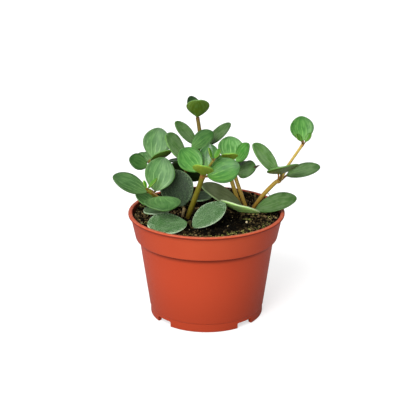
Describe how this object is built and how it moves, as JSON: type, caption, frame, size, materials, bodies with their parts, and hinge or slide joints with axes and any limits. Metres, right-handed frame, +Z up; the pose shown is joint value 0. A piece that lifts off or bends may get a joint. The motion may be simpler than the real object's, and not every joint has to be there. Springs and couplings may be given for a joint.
{
  "type": "potted plant",
  "caption": "Trailing jade peperomia with round fleshy leaves on upright stems, growing in a tapered plastic nursery pot.",
  "frame": {"origin": "the middle of the whole plant's bounding box seen from above, on the surface that the pot stands on; the pot's own axis is 7.41 mm towards -X from it", "axes": "+Z up out of the pot; the viewer of the reference view looks along +Y, with +X to the right"},
  "size_m": [0.142, 0.108, 0.1492],
  "materials": {
    "terracotta_plastic": "satin moulded",
    "potting_mix": "rough peat with moss and perlite flecks",
    "stem_olive": "smooth, slightly waxy",
    "leaf_fresh": "waxy gloss with faint lighter veins",
    "leaf_grown": "matt, finely speckled, with faint lighter veins"
  },
  "bodies": {
    "root": {"pot": "terracotta_plastic", "soil": "potting_mix", "stem_front": "stem_olive", "stem_tall": "stem_olive", "stem_left_front": "stem_olive", "stem_left_back": "stem_olive", "stem_right_tall": "stem_olive", "stem_right_short": "stem_olive", "stem_right": "stem_olive", "stem_stub": "stem_olive", "stem_runner": "stem_olive", "stem_low_right": "stem_olive", "leaf_front_left": "leaf_fresh", "leaf_front_right": "leaf_fresh", "leaf_front_back": "leaf_fresh", "leaf_front_near": "leaf_fresh", "leaf_front_bud_left": "leaf_grown", "leaf_front_bud_right": "leaf_grown", "leaf_left_front_left": "leaf_fresh", "leaf_left_front_up": "leaf_fresh", "leaf_left_front_near": "leaf_fresh", "leaf_left_front_bud_left": "leaf_grown", "leaf_left_front_bud_right": "leaf_grown", "leaf_left_low": "leaf_grown", "leaf_left_low_near": "leaf_grown", "leaf_left_back_up": "leaf_fresh", "leaf_left_back_near": "leaf_fresh", "leaf_left_back_left": "leaf_fresh", "leaf_left_back_far": "leaf_fresh", "leaf_tall_low_left": "leaf_grown", "leaf_tall_low_edge": "leaf_grown", "leaf_tall_low_near": "leaf_grown", "leaf_tall_low_far": "leaf_grown", "leaf_tall_middle_left": "leaf_grown", "leaf_tall_middle_right": "leaf_grown", "leaf_tall_middle_near": "leaf_grown", "leaf_tall_middle_far": "leaf_grown", "leaf_tall_top_near": "leaf_fresh", "leaf_tall_top_far": "leaf_fresh", "leaf_right_tall_up": "leaf_fresh", "leaf_right_tall_fold": "leaf_fresh", "leaf_right_tall_near": "leaf_fresh", "leaf_right_tall_left": "leaf_fresh", "leaf_right_short_right": "leaf_grown", "leaf_right_short_far": "leaf_grown", "leaf_right_left": "leaf_fresh", "leaf_right_near": "leaf_fresh", "leaf_right_right": "leaf_fresh", "leaf_right_far": "leaf_fresh", "leaf_right_tip_up": "leaf_fresh", "leaf_right_tip_left": "leaf_fresh", "leaf_right_tip_right": "leaf_fresh", "leaf_old_up": "leaf_grown", "leaf_old_rim": "leaf_grown", "leaf_old_front": "leaf_grown", "leaf_old_far": "leaf_grown", "leaf_old_long": "leaf_grown", "leaf_old_near": "leaf_grown", "leaf_old_right": "leaf_grown"}
  },
  "joints": []
}
